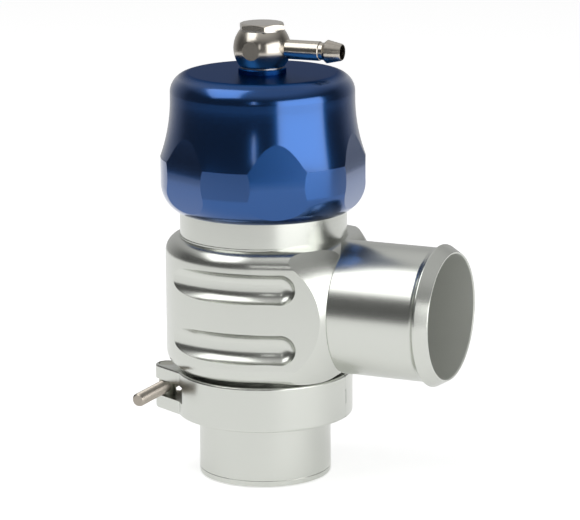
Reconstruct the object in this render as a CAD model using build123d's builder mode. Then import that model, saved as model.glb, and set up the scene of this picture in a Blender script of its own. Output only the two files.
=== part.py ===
from build123d import *
from math import acos, cos, radians, sin, tan
import os

# Piston blow-off valve with a side outlet, a screwed cap, a banjo signal port and a clamped inlet adaptor.
# Millimetres. Origin: centre of the inlet spigot's lower end. +Z up the valve's axis, +X along the outlet.

# Fits between pieces
running_fit = 0.05
press_gap = 0.02
rest_gap = 0.3

# Clamped joint between adaptor and valve body
flange_od = 42.8
flange_rim = 1.6
flange_taper = 20.0
face_ring_width = 1.8
face_ring_depth = 1.3

# Inlet adaptor, stepped down from the flange
inlet_tube_step = 2.4
inlet_tube_wall = 2.0
undercut_depth = 0.3
spigot_length = 17.8
spigot_wall = 17.3
spigot_edge = 0.3

# Clamp collar, stepped up from the flange
collar_wall = 4.0
collar_height = 13.0
collar_edge = 0.7
collar_groove_gap = 0.25
collar_lip_gap = 0.4
collar_gap = 3.0
hinge_face_gap = 0.4
hinge_pin_dia = 2.0
hinge_knuckle_dia = 3.6
hinge_relief_gap = 0.25
hinge_end_gap = 0.15
ear_radius = 3.4
ear_face_angle = 62.8
ear_root_fillet = 3.0
ear_inner_fillet = 0.8
trunnion_dia = 5.0
trunnion_inset = 0.1
trunnion_step = 1.9
trunnion_half_spacing = 8.2
slot_floor_depth = 1.8
slot_end_depth = 7.7
front_slot_height = 4.8
rear_slot_height = 7.8

# Clamp screw, M4 with a socket head
screw_dia = 3.9
screw_length = 37.3
screw_head_dia = 7.0
screw_head_height = 4.0
screw_head_edge = 0.3
screw_socket = 3.0
screw_socket_depth = 2.2
screw_tip_chamfer = 0.5
screw_washer = 0.5
trunnion_flat = 1.46
washer_seat_gap = 0.04
trunnion_clearance = 0.1

# Valve body
body_od = 56.2
body_gap = 0.9
body_height = 38.3
body_top_fillet = 4.0
body_bottom_fillet = 5.0
step_height = 0.4
step_width = 0.3
neck_od = 47.8
neck_length = 21.5
neck_thread_od = 46.8
cylinder_bore = 42.0
entry_step = 0.25
seat_bore = 33.5
seat_height = 6.5
seat_rim_height = 1.2
seat_rim_width = 1.5

# Outlet
outlet_axis_height = 19.24
outlet_tube_od = 38.0
outlet_tube_bore = 35.3
outlet_bore_start = 19.5
outlet_nose = 27.8
outlet_reach = 57.8
outlet_taper_angle = 18.4
flare_start = (16.5, 29.4)
flare_mid = (23.2, 24.5)
flare_end_step = 0.25
bead_start = 52.3
bead_crest = 54.1
bead_dia = 40.3
bead_flat = 0.4
lip_dia = 36.4

# Side grooves, milled with a bull-nosed cutter on a curved path
groove_heights = (10.9, 28.2)
groove_floor_radius = 38.9
groove_centre = (-0.8, 13.4)
groove_left_angle = 225.0
groove_right_angle = 294.0
cutter_dia = 9.1
cutter_corner = 3.6
cutter_reach = 12.0

# Guide sleeve
sleeve_bore = 39.0
sleeve_length = 23.0
sleeve_flange_od = 46.4
sleeve_flange = 1.5

# Piston
piston_nose_dia = 38.6
piston_skirt_dia = 38.8
piston_waist_dia = 37.0
piston_cavity_dia = 32.6
piston_floor = 4.4
piston_height = 42.4
piston_nose_height = 6.0
piston_skirt_height = 16.0
piston_edge = 0.8
nose_seal_inner_dia = 33.7
nose_seal_width = 1.6
nose_seal_height = 1.8
nose_seal_proud = 0.4
ring_groove_dia = 36.0
guide_ring_height = 3.4
guide_ring_from_top = 11.0
seal_ring_height = 2.2
seal_ring_from_top = 5.0

# Cap
cap_height = 38.9
cap_clearance = 7.3
cap_belly_dia = 58.4
cap_wall_dia = 52.5
cap_mouth_dia = 50.2
cap_belly_bottom = 7.5
cap_belly_top = 15.1
cap_flare_height = 16.8
cap_top_fillet = 5.5
cap_roof = 4.3
cap_mouth_depth = 1.8
cap_chamber_dia = 41.2
facet_count = 6
facet_azimuth = 3.0
facet_bottom = (27.55, 2.4)
facet_middle = (28.1, 11.9)
facet_top = (27.15, 22.5)
cap_ring_height = 2.0
cap_ring_depth = 1.2
cap_ring_from_top = 1.6
boss_dia = 13.6
boss_height = 1.4

# Spring and its seat
spring_wire = 2.4
spring_mean_dia = 27.2
spring_turns = 8.0
spring_seat_flange = 1.2
spring_seat_boss = 3.0
spring_seat_hole = 16.0

# Banjo fitting on the cap
banjo_thread_dia = 8.0
banjo_ball_dia = 16.3
banjo_height = 10.2
banjo_bore_gap = 0.15
banjo_washer = 0.4
banjo_washer_od = 12.4
banjo_azimuth = 2.0
banjo_head_flats = 12.0
banjo_head_height = 1.7
banjo_head_edge = 0.4
banjo_bolt_end = 0.6
banjo_waist_dia = 6.2
banjo_waist_height = 5.0
banjo_bolt_bore = 4.0
banjo_cross_hole = 2.6
banjo_flat_distance = 7.72
tail_stem_dia = 5.5
tail_bore = 4.2
tail_neck_dia = 4.9
tail_neck_start = 17.7
tail_barb_start = 18.9
tail_barb_crest = 19.95
tail_barb_dia = 6.6
tail_tip_dia = 4.7
tail_reach = 24.3

# Levels and radii worked out from the sizes above
flange_r = flange_od / 2
inlet_r = flange_r - inlet_tube_step
inlet_bore_r = inlet_r - inlet_tube_wall
undercut_r = inlet_r - undercut_depth
entry_r = inlet_bore_r - entry_step
face_ring_r = (inlet_bore_r + flange_r) / 2
collar_r = flange_r + collar_wall
trunnion_offset = collar_r + trunnion_step
body_r = body_od / 2
neck_r = neck_od / 2
thread_r = neck_thread_od / 2
outlet_r = outlet_tube_od / 2
joint_z = spigot_length + collar_height / 2
collar_top = spigot_length + collar_height
body_bottom = collar_top + body_gap
shoulder_z = body_bottom + body_height
neck_root_z = shoulder_z + step_height
neck_top = neck_root_z + neck_length
outlet_z = body_bottom + outlet_axis_height
seat_z = body_bottom + seat_height
chamber_floor = seat_z - seat_rim_height
cap_bottom = neck_root_z + cap_clearance
cap_top = cap_bottom + cap_height
cap_ledge = neck_top + sleeve_flange
cap_ceiling = cap_top - cap_roof
boss_top = cap_top + boss_height
banjo_bottom = boss_top + banjo_washer
banjo_z = banjo_bottom + banjo_height / 2
banjo_top = banjo_bottom + banjo_height
head_bottom = banjo_top + banjo_washer
piston_bottom = seat_z + running_fit + nose_seal_proud
piston_top = piston_bottom + piston_height
ring_r = sleeve_bore / 2 - running_fit
spring_bottom = piston_bottom + piston_floor
spring_top = cap_ceiling - spring_seat_flange
flange_root = flange_rim + (flange_r - undercut_r) * tan(radians(flange_taper))
outlet_axis = Axis((0, 0, outlet_z), (1, 0, 0))

os.makedirs("parts", exist_ok=True)


# Inlet adaptor: a tube with a tapered flange and a groove for its O-ring
with BuildPart() as inlet_adaptor:
    with BuildSketch(Plane.XZ):
        Polygon(
            (inlet_bore_r, 0),
            (inlet_r, 0),
            (inlet_r, spigot_wall),
            (undercut_r, spigot_wall + inlet_r - undercut_r),
            (undercut_r, joint_z - flange_root),
            (flange_r, joint_z - flange_rim),
            (flange_r, joint_z),
            (inlet_bore_r, joint_z),
            align=None,
        )
        with Locations((face_ring_r, joint_z - face_ring_depth / 2)):
            Rectangle(face_ring_width + 2 * running_fit, face_ring_depth, mode=Mode.SUBTRACT)
    revolve(axis=Axis.Z)
    mouth_edges = inlet_adaptor.edges().filter_by(GeomType.CIRCLE).group_by(Axis.Z)[0]
    chamfer(mouth_edges.sort_by(SortBy.RADIUS)[-1], spigot_edge)

with BuildPart() as inlet_o_ring:
    with BuildSketch(Plane.XZ):
        with Locations((face_ring_r, joint_z - face_ring_depth / 2)):
            RectangleRounded(face_ring_width, face_ring_depth, face_ring_depth * 0.4)
    revolve(axis=Axis.Z)


# Valve body: turned neck and joint flange, milled nose, outlet tube with a hose bead
tangent = radians(90 - outlet_taper_angle)
tangent_x = body_r * cos(tangent)
tangent_y = body_r * sin(tangent)
nose_y = tangent_y - (outlet_nose - tangent_x) * tan(radians(outlet_taper_angle))
path_start = Vector(1, 0, 0).rotate(Axis.Z, groove_left_angle)
cutter_axis = Vector(1, 0, 0).rotate(Axis.Z, groove_right_angle)

with BuildPart() as groove_cutter:
    path_plane = Plane(origin=groove_centre, x_dir=path_start, z_dir=path_start.cross(Vector(0, 0, 1)))
    with BuildSketch(path_plane):
        with Locations((groove_floor_radius + cutter_reach / 2, 0)):
            RectangleRounded(cutter_reach, cutter_dia, cutter_corner)
    revolve(axis=Axis(groove_centre, (0, 0, 1)), revolution_arc=groove_right_angle - groove_left_angle)
    end_plane = Plane(origin=groove_centre, x_dir=cutter_axis, z_dir=cutter_axis.cross(Vector(0, 0, 1)))
    with BuildSketch(end_plane) as cutter_profile:
        with Locations((groove_floor_radius + cutter_reach / 2, 0)):
            RectangleRounded(cutter_reach, cutter_dia, cutter_corner)
        with Locations((groove_floor_radius + cutter_reach / 2, -cutter_dia)):
            Rectangle(2 * cutter_reach, 2 * cutter_dia, mode=Mode.SUBTRACT)
    revolve(axis=Axis(groove_centre, cutter_axis))

with BuildPart() as valve_body:
    with BuildSketch(Plane.XY.offset(body_bottom)):
        Circle(body_r)
        Polygon(
            (tangent_x, tangent_y),
            (outlet_nose, nose_y),
            (outlet_nose, -nose_y),
            (tangent_x, -tangent_y),
            align=None,
        )
    extrude(amount=body_height)
    fillet(valve_body.edges().group_by(Axis.Z)[-1], body_top_fillet)
    fillet(valve_body.edges().group_by(Axis.Z)[0], body_bottom_fillet)

    # The nose is turned about the outlet's axis
    with BuildSketch(Plane.XZ):
        with BuildLine():
            Polyline(
                (outlet_nose, outlet_z + outlet_r + flare_end_step),
                (outlet_nose, outlet_z),
                (-2 * body_r, outlet_z),
                (-2 * body_r, outlet_z + 2 * body_r),
                (flare_start[0], outlet_z + 2 * body_r),
                (flare_start[0], outlet_z + flare_start[1]),
            )
            ThreePointArc(
                (flare_start[0], outlet_z + flare_start[1]),
                (flare_mid[0], outlet_z + flare_mid[1]),
                (outlet_nose, outlet_z + outlet_r + flare_end_step),
            )
        make_face()
    revolve(axis=outlet_axis, mode=Mode.INTERSECT)

    # Joint flange and its short neck below, screwed neck above
    with BuildSketch(Plane.XZ):
        Polygon(
            (0, joint_z),
            (flange_r, joint_z),
            (flange_r, joint_z + flange_rim),
            (undercut_r, joint_z + flange_root),
            (undercut_r, body_bottom + 1),
            (0, body_bottom + 1),
            align=None,
        )
        Polygon(
            (0, shoulder_z - 1),
            (neck_r + step_width, shoulder_z - 1),
            (neck_r + step_width, neck_root_z),
            (neck_r, neck_root_z),
            (neck_r, cap_bottom + cap_mouth_depth - rest_gap),
            (thread_r, cap_bottom + cap_mouth_depth - rest_gap + neck_r - thread_r),
            (thread_r, neck_top),
            (0, neck_top),
            align=None,
        )
    revolve(axis=Axis.Z)

    with BuildSketch(Plane.XZ):
        Polygon(
            (outlet_nose / 2, outlet_z),
            (outlet_nose / 2, outlet_z + outlet_r),
            (bead_start, outlet_z + outlet_r),
            (bead_crest, outlet_z + bead_dia / 2),
            (bead_crest + bead_flat, outlet_z + bead_dia / 2),
            (outlet_reach, outlet_z + lip_dia / 2),
            (outlet_reach, outlet_z),
            align=None,
        )
    revolve(axis=outlet_axis)

    # Inlet bore, raised seat, cylinder bore and the cap ring's groove
    with BuildSketch(Plane.XZ):
        Polygon(
            (0, joint_z),
            (entry_r, joint_z),
            (entry_r, body_bottom),
            (seat_bore / 2, chamber_floor),
            (seat_bore / 2, seat_z),
            (seat_bore / 2 + seat_rim_width, seat_z),
            (seat_bore / 2 + seat_rim_width, chamber_floor),
            (cylinder_bore / 2, chamber_floor),
            (cylinder_bore / 2, neck_top),
            (0, neck_top),
            align=None,
        )
        with Locations((thread_r, neck_top - cap_ring_from_top - cap_ring_height / 2)):
            Rectangle(2 * cap_ring_depth, cap_ring_height)
    revolve(axis=Axis.Z, mode=Mode.SUBTRACT)

    with BuildSketch(Plane((outlet_bore_start, 0, outlet_z), x_dir=(0, 1, 0), z_dir=(1, 0, 0))):
        Circle(outlet_tube_bore / 2)
    extrude(amount=outlet_reach, mode=Mode.SUBTRACT)

    # Two grooves on each side
    with Locations(*[(0, 0, body_bottom + height) for height in groove_heights]):
        add(groove_cutter.part, mode=Mode.SUBTRACT)
        add(mirror(groove_cutter.part, about=Plane.XZ, mode=Mode.PRIVATE), mode=Mode.SUBTRACT)


# Guide sleeve, held between the neck's top and the cap's ledge
with BuildPart() as guide_sleeve:
    with BuildSketch(Plane.XZ):
        Polygon(
            (sleeve_bore / 2, neck_top + sleeve_flange),
            (sleeve_bore / 2, neck_top - sleeve_length),
            (cylinder_bore / 2 - press_gap, neck_top - sleeve_length),
            (cylinder_bore / 2 - press_gap, neck_top),
            (sleeve_flange_od / 2, neck_top),
            (sleeve_flange_od / 2, neck_top + sleeve_flange),
            align=None,
        )
    revolve(axis=Axis.Z)
    chamfer(guide_sleeve.edges().filter_by(GeomType.CIRCLE).group_by(Axis.Z)[0], 0.4)


# Piston: hollow, with a wide nose, a reduced waist and a grooved skirt
nose_top = piston_bottom + piston_nose_height
skirt_bottom = piston_top - piston_skirt_height
seal_mid_r = (nose_seal_inner_dia + nose_seal_width) / 2
guide_ring_z = piston_top - guide_ring_from_top + guide_ring_height / 2
seal_ring_z = piston_top - seal_ring_from_top + seal_ring_height / 2

with BuildPart() as piston:
    with BuildSketch(Plane.XZ) as piston_profile:
        Polygon(
            (0, piston_bottom),
            (piston_nose_dia / 2, piston_bottom),
            (piston_nose_dia / 2, nose_top),
            (piston_waist_dia / 2, nose_top + 2),
            (piston_waist_dia / 2, skirt_bottom - 1),
            (piston_skirt_dia / 2, skirt_bottom),
            (piston_skirt_dia / 2, piston_top),
            (0, piston_top),
            align=None,
        )
        with Locations((0, spring_bottom)):
            Rectangle(
                piston_cavity_dia,
                2 * piston_height,
                align=(Align.CENTER, Align.MIN),
                mode=Mode.SUBTRACT,
            )
        with Locations((seal_mid_r, piston_bottom)):
            Rectangle(
                nose_seal_width + 2 * press_gap,
                2 * (nose_seal_height - nose_seal_proud),
                mode=Mode.SUBTRACT,
            )
        with Locations((piston_skirt_dia / 2, guide_ring_z)):
            Rectangle(piston_skirt_dia - ring_groove_dia, guide_ring_height, mode=Mode.SUBTRACT)
        with Locations((piston_skirt_dia / 2, seal_ring_z)):
            Rectangle(piston_skirt_dia - ring_groove_dia, seal_ring_height, mode=Mode.SUBTRACT)
    revolve(axis=Axis.Z)
    skirt_edges = piston.edges().filter_by(GeomType.CIRCLE).group_by(Axis.Z)[-1]
    chamfer(skirt_edges.sort_by(SortBy.RADIUS)[-1], piston_edge)

with BuildPart() as piston_face_seal:
    with BuildSketch(Plane.XZ):
        with Locations((seal_mid_r, piston_bottom - nose_seal_proud + nose_seal_height / 2)):
            RectangleRounded(nose_seal_width, nose_seal_height, nose_seal_width * 0.2)
    revolve(axis=Axis.Z)

with BuildPart() as piston_guide_ring:
    with BuildSketch(Plane.XZ):
        with Locations((ring_r, guide_ring_z)):
            Rectangle(
                ring_r - ring_groove_dia / 2 - press_gap,
                guide_ring_height - 2 * press_gap,
                align=(Align.MAX, Align.CENTER),
            )
    revolve(axis=Axis.Z)

with BuildPart() as piston_seal_ring:
    with BuildSketch(Plane.XZ):
        with Locations((ring_r, seal_ring_z)):
            Rectangle(
                ring_r - ring_groove_dia / 2 - press_gap,
                seal_ring_height - 2 * press_gap,
                align=(Align.MAX, Align.CENTER),
            )
    revolve(axis=Axis.Z)
    chamfer(piston_seal_ring.edges().filter_by(GeomType.CIRCLE).sort_by(SortBy.RADIUS)[-2:], 0.4)


# Spring and its seat under the cap's roof
spring_rise = spring_top - spring_bottom - spring_wire
with BuildPart() as main_spring:
    with BuildLine() as coil:
        Helix(
            pitch=spring_rise / spring_turns,
            height=spring_rise,
            radius=spring_mean_dia / 2,
            center=(0, 0, spring_bottom + spring_wire / 2),
        )
    with BuildSketch(Plane(coil.line @ 0, z_dir=coil.line % 0)):
        Circle(spring_wire / 2)
    sweep(is_frenet=True)

with BuildPart() as spring_seat:
    with BuildSketch(Plane.XZ):
        Polygon(
            (spring_seat_hole / 2, spring_top - spring_seat_boss),
            (spring_mean_dia / 2 - spring_wire / 2 - rest_gap - 0.5, spring_top - spring_seat_boss),
            (spring_mean_dia / 2 - spring_wire / 2 - rest_gap, spring_top - spring_seat_boss + 0.8),
            (spring_mean_dia / 2 - spring_wire / 2 - rest_gap, spring_top),
            (cap_chamber_dia / 2 - rest_gap, spring_top),
            (cap_chamber_dia / 2 - rest_gap, cap_ceiling),
            (spring_seat_hole / 2, cap_ceiling),
            align=None,
        )
    revolve(axis=Axis.Z)


# Cap: flared and turned outside, with six shallow facets round the belly
crease_z = cap_bottom + cap_belly_top
wall_bottom = (cap_wall_dia / 2, crease_z + cap_flare_height)
wall_top = (cap_wall_dia / 2, cap_top - cap_top_fillet)
belly_low = (cap_belly_dia / 2, cap_bottom + cap_belly_bottom)
belly_high = (cap_belly_dia / 2, crease_z)
facet_heights = (facet_bottom, facet_middle, facet_top)
facet_points = [(distance, cap_bottom + height) for distance, height in facet_heights]
facet_angles = [facet_azimuth + index * 360 / facet_count for index in range(facet_count)]
facet_planes = [Plane.XZ.rotated((0, 0, angle)) for angle in facet_angles]

with BuildPart() as cap:
    with BuildSketch(Plane.XZ):
        with BuildLine():
            TangentArc(belly_low, (cap_mouth_dia / 2, cap_bottom), tangent=(0, -1))
            Line(belly_low, belly_high)
            TangentArc(wall_bottom, belly_high, tangent=(0, -1))
            Line(wall_bottom, wall_top)
            TangentArc(wall_top, (cap_wall_dia / 2 - cap_top_fillet, cap_top), tangent=(0, 1))
            Polyline(
                (cap_wall_dia / 2 - cap_top_fillet, cap_top),
                (boss_dia / 2, cap_top),
                (boss_dia / 2, boss_top),
                (0, boss_top),
                (0, cap_bottom),
                (cap_mouth_dia / 2, cap_bottom),
            )
        make_face()
    revolve(axis=Axis.Z)

    # Inside: mouth over the neck, thread bore, ledge on the sleeve, spring chamber and signal port
    with BuildSketch(Plane.XZ):
        Polygon(
            (0, cap_bottom),
            (neck_r + running_fit, cap_bottom),
            (neck_r + running_fit, cap_bottom + cap_mouth_depth),
            (thread_r + running_fit, cap_bottom + cap_mouth_depth + neck_r - thread_r),
            (thread_r + running_fit, cap_ledge),
            (cap_chamber_dia / 2, cap_ledge),
            (cap_chamber_dia / 2, cap_ceiling),
            (banjo_thread_dia / 2 + press_gap, cap_ceiling),
            (banjo_thread_dia / 2 + press_gap, boss_top),
            (0, boss_top),
            align=None,
        )
    revolve(axis=Axis.Z, mode=Mode.SUBTRACT)

    with BuildSketch(*facet_planes):
        with BuildLine():
            ThreePointArc(*facet_points)
            Polyline(
                facet_points[2],
                (cap_belly_dia, facet_points[2][1] + 6),
                (cap_belly_dia, facet_points[0][1] - 6),
                facet_points[0],
            )
        make_face()
    extrude(amount=cap_belly_dia / 2, both=True, mode=Mode.SUBTRACT)

with BuildPart() as cap_o_ring:
    with BuildSketch(Plane.XZ):
        with Locations((thread_r, neck_top - cap_ring_from_top - cap_ring_height / 2)):
            RectangleRounded(
                cap_ring_depth - press_gap,
                cap_ring_height - 2 * press_gap,
                cap_ring_depth * 0.4,
                align=(Align.MAX, Align.CENTER),
            )
    revolve(axis=Axis.Z)


# Banjo bolt: hexagon head, threaded shank with a waist, blind bore and cross hole
with BuildPart() as banjo_bolt:
    with BuildSketch(Plane.XY.offset(head_bottom)):
        RegularPolygon(banjo_head_flats / 2, 6, major_radius=False)
    extrude(amount=banjo_head_height)
    with BuildSketch(Plane.XZ):
        Polygon(
            (0, head_bottom),
            (banjo_head_flats, head_bottom),
            (banjo_head_flats / 2 + 2, head_bottom + banjo_head_height - banjo_head_edge - 0.8),
            (banjo_head_flats / 2 - 0.2, head_bottom + banjo_head_height),
            (0, head_bottom + banjo_head_height),
            align=None,
        )
    revolve(axis=Axis.Z, mode=Mode.INTERSECT)
    with BuildSketch(Plane.XZ):
        Polygon(
            (0, cap_ceiling + banjo_bolt_end),
            (banjo_thread_dia / 2 - banjo_bolt_end, cap_ceiling + banjo_bolt_end),
            (banjo_thread_dia / 2, cap_ceiling + 2 * banjo_bolt_end),
            (banjo_thread_dia / 2, banjo_z - banjo_waist_height / 2),
            (banjo_waist_dia / 2, banjo_z - banjo_waist_height / 2 + 0.5),
            (banjo_waist_dia / 2, banjo_z + banjo_waist_height / 2 - 0.5),
            (banjo_thread_dia / 2, banjo_z + banjo_waist_height / 2),
            (banjo_thread_dia / 2, head_bottom + 0.5),
            (0, head_bottom + 0.5),
            align=None,
        )
    revolve(axis=Axis.Z)
    with BuildSketch(Plane.XY.offset(cap_ceiling)):
        Circle(banjo_bolt_bore / 2)
    extrude(amount=banjo_z + banjo_cross_hole / 2 - cap_ceiling, mode=Mode.SUBTRACT)
    with BuildSketch(Plane.YZ.offset(-banjo_thread_dia).shift_origin((-banjo_thread_dia, 0, banjo_z))):
        Circle(banjo_cross_hole / 2)
    extrude(amount=2 * banjo_thread_dia, mode=Mode.SUBTRACT)


# Banjo fitting: ball with flats, hose tail with one barb
tail_dir = Vector(1, 0, 0).rotate(Axis.Z, banjo_azimuth)
banjo_centre = Vector(0, 0, banjo_z)
tail_axis = Axis(banjo_centre, tail_dir)
tail_plane = Plane(origin=banjo_centre, x_dir=tail_dir, z_dir=tail_dir.cross(Vector(0, 0, 1)))

with BuildPart() as banjo_fitting:
    with BuildSketch(Plane.XZ):
        with Locations((0, banjo_z)):
            Circle(banjo_ball_dia / 2)
            Rectangle(banjo_ball_dia, banjo_height, align=(Align.MIN, Align.CENTER), mode=Mode.INTERSECT)
    revolve(axis=Axis.Z)
    with BuildSketch(tail_plane):
        Polygon(
            (banjo_ball_dia / 4, 0),
            (banjo_ball_dia / 4, tail_stem_dia / 2),
            (tail_neck_start, tail_stem_dia / 2),
            (tail_neck_start + 0.3, tail_neck_dia / 2),
            (tail_barb_start, tail_neck_dia / 2),
            (tail_barb_crest, tail_barb_dia / 2),
            (tail_reach, tail_tip_dia / 2),
            (tail_reach, 0),
            align=None,
        )
    revolve(axis=tail_axis)
    for side in (-1, 1):
        spot_plane = Plane(
            origin=banjo_centre + Vector(0, side * banjo_flat_distance, 0),
            x_dir=(1, 0, 0),
            z_dir=(0, side, 0),
        )
        with BuildSketch(spot_plane):
            Circle(banjo_ball_dia / 4)
        extrude(amount=banjo_ball_dia / 4, mode=Mode.SUBTRACT)
    with BuildSketch(Plane.XY.offset(banjo_bottom)):
        Circle(banjo_thread_dia / 2 + banjo_bore_gap)
    extrude(amount=banjo_height, mode=Mode.SUBTRACT)
    with BuildSketch(Plane(origin=banjo_centre, x_dir=(0, 0, 1), z_dir=tail_dir)):
        Circle(tail_bore / 2)
    extrude(amount=tail_reach, mode=Mode.SUBTRACT)

with BuildPart() as banjo_washer_lower:
    with BuildSketch(Plane.XY.offset(boss_top)):
        Circle(banjo_washer_od / 2)
        Circle(banjo_thread_dia / 2 + running_fit, mode=Mode.SUBTRACT)
    extrude(amount=banjo_washer)

with BuildPart() as banjo_washer_upper:
    with BuildSketch(Plane.XY.offset(banjo_top)):
        Circle(banjo_washer_od / 2)
        Circle(banjo_thread_dia / 2 + running_fit, mode=Mode.SUBTRACT)
    extrude(amount=banjo_washer)


# Clamp collar in two halves, side -1 in front and +1 behind, hinged under the outlet
groove_r = flange_r + collar_groove_gap
groove_rim = flange_rim + collar_groove_gap
lip_r = inlet_r + collar_lip_gap
groove_root = groove_rim + (groove_r - lip_r) * tan(radians(flange_taper))
hinge_x = collar_r - hinge_knuckle_dia / 2
knuckle_height = (collar_height - 2 * collar_edge) / 3
knuckle_z = [spigot_length + collar_edge + knuckle_height * (index + 0.5) for index in range(3)]
turn = radians(ear_face_angle)
ear_reach = trunnion_offset * cos(turn) + trunnion_half_spacing * sin(turn) + ear_radius
root_angle = radians(180 - ear_face_angle) + acos(ear_reach / collar_r)
root_corner = (collar_r * cos(root_angle), collar_r * sin(root_angle))
ear_inner_y = trunnion_half_spacing - ear_radius
inner_corner = (-((collar_r**2 - ear_inner_y**2) ** 0.5), ear_inner_y)
ear_plan = [
    (-trunnion_offset - ear_radius * cos(turn), trunnion_half_spacing + ear_radius * sin(turn)),
    (root_corner[0] + 2 * sin(turn), root_corner[1] + 2 * cos(turn)),
    (inner_corner[0] + 5, inner_corner[1]),
    (-trunnion_offset, inner_corner[1]),
]
collar_cut = [
    (0, spigot_length),
    (lip_r, spigot_length),
    (lip_r, joint_z - groove_root),
    (groove_r, joint_z - groove_rim),
    (groove_r, joint_z + groove_rim),
    (lip_r, joint_z + groove_root),
    (lip_r, collar_top),
    (0, collar_top),
]


def make_clamp_half(side, slot_height, own_knuckles, other_knuckles):
    with BuildPart() as half:
        with BuildSketch(Plane.XY.offset(spigot_length)) as plan:
            Circle(collar_r)
            with Locations((-trunnion_offset, side * trunnion_half_spacing)):
                Circle(ear_radius)
            Polygon(*[(x, side * y) for x, y in ear_plan], align=None)
            root = Vector(root_corner[0], side * root_corner[1], 0)
            inner = Vector(inner_corner[0], side * inner_corner[1], 0)
            fillet(plan.vertices().sort_by_distance(root)[0], ear_root_fillet)
            fillet(plan.vertices().sort_by_distance(inner)[0], ear_inner_fillet)
        extrude(amount=collar_height)
        rims = half.edges().group_by(Axis.Z)
        fillet(rims[0] + rims[-1], collar_edge)
        with BuildSketch(Plane.XZ):
            Polygon(*collar_cut, align=None)
        revolve(axis=Axis.Z, mode=Mode.SUBTRACT)

        # Slot for the screw, hole for its trunnion, and the two end faces
        with BuildSketch(Plane.XY.offset(joint_z)):
            with Locations((slot_end_depth - collar_r, 0)):
                Rectangle(2 * collar_r, 2 * collar_r, align=(Align.MAX, Align.CENTER))
            Circle(collar_r - slot_floor_depth, mode=Mode.SUBTRACT)
        extrude(amount=slot_height / 2, both=True, mode=Mode.SUBTRACT)
        with Locations((-trunnion_offset, side * trunnion_half_spacing, joint_z)):
            Cylinder(trunnion_dia / 2 + running_fit, 2 * collar_height, mode=Mode.SUBTRACT)
        with Locations((-collar_r, side * (collar_gap / 2 - collar_r), joint_z)):
            Box(2 * collar_r, 2 * collar_r, 2 * collar_height, mode=Mode.SUBTRACT)
        with Locations((collar_r, side * (hinge_face_gap / 2 - collar_r), joint_z)):
            Box(2 * collar_r, 2 * collar_r, 2 * collar_height, mode=Mode.SUBTRACT)

        # Hinge knuckles, flush with the collar
        with Locations(*[(hinge_x, 0, knuckle_z[index]) for index in other_knuckles]):
            Cylinder(
                hinge_knuckle_dia / 2 + hinge_relief_gap,
                knuckle_height + hinge_end_gap,
                mode=Mode.SUBTRACT,
            )
        with Locations(*[(hinge_x, 0, knuckle_z[index]) for index in own_knuckles]):
            Cylinder(hinge_knuckle_dia / 2, knuckle_height - hinge_end_gap)
        with Locations((hinge_x, 0, joint_z)):
            Cylinder(hinge_pin_dia / 2 + running_fit, 2 * collar_height, mode=Mode.SUBTRACT)
    return half


clamp_half_front = make_clamp_half(-1, front_slot_height, (0, 2), (1,))
clamp_half_rear = make_clamp_half(1, rear_slot_height, (1,), (0, 2))

with BuildPart() as clamp_hinge_pin:
    with Locations((hinge_x, 0, joint_z)):
        Cylinder(hinge_pin_dia / 2, collar_height - 2 * trunnion_inset)
    chamfer(clamp_hinge_pin.edges().filter_by(GeomType.CIRCLE), 0.2)


# Clamp screw with its washer, nut trunnion and bearing trunnion
screw_seat_y = trunnion_half_spacing + trunnion_flat + washer_seat_gap + screw_washer
screw_plane = Plane(origin=(-trunnion_offset, screw_seat_y, joint_z), x_dir=(1, 0, 0), z_dir=(0, -1, 0))

with BuildPart() as clamp_screw:
    with BuildSketch(screw_plane):
        Circle(screw_dia / 2)
    extrude(amount=screw_length)
    chamfer(clamp_screw.edges().filter_by(GeomType.CIRCLE).sort_by(Axis.Y)[0], screw_tip_chamfer)
    with BuildSketch(screw_plane):
        Circle(screw_head_dia / 2)
    extrude(amount=-screw_head_height)
    chamfer(clamp_screw.edges().filter_by(GeomType.CIRCLE).sort_by(Axis.Y)[-1], screw_head_edge)
    with BuildSketch(screw_plane.offset(-screw_head_height)):
        RegularPolygon(screw_socket / 2, 6, major_radius=False)
    extrude(amount=screw_socket_depth, mode=Mode.SUBTRACT)

with BuildPart() as clamp_screw_washer:
    with BuildSketch(screw_plane):
        Circle(screw_head_dia / 2)
        Circle(screw_dia / 2 + trunnion_clearance, mode=Mode.SUBTRACT)
    extrude(amount=screw_washer)

with BuildPart() as trunnion_nut:
    with Locations((-trunnion_offset, -trunnion_half_spacing, joint_z)):
        Cylinder(trunnion_dia / 2, collar_height - 2 * trunnion_inset)
    chamfer(trunnion_nut.edges().filter_by(GeomType.CIRCLE), 0.3)
    with BuildSketch(screw_plane):
        Circle(screw_dia / 2 + running_fit)
    extrude(amount=screw_length, mode=Mode.SUBTRACT)

with BuildPart() as trunnion_bearing:
    with Locations((-trunnion_offset, trunnion_half_spacing, joint_z)):
        Cylinder(trunnion_dia / 2, collar_height - 2 * trunnion_inset)
    chamfer(trunnion_bearing.edges().filter_by(GeomType.CIRCLE), 0.3)
    with BuildSketch(screw_plane.offset(screw_washer + washer_seat_gap)):
        Rectangle(2 * trunnion_dia, rear_slot_height - 2 * trunnion_inset)
    extrude(amount=-trunnion_dia, mode=Mode.SUBTRACT)
    with BuildSketch(screw_plane):
        Circle(screw_dia / 2 + trunnion_clearance)
    extrude(amount=screw_length, mode=Mode.SUBTRACT)


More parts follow.
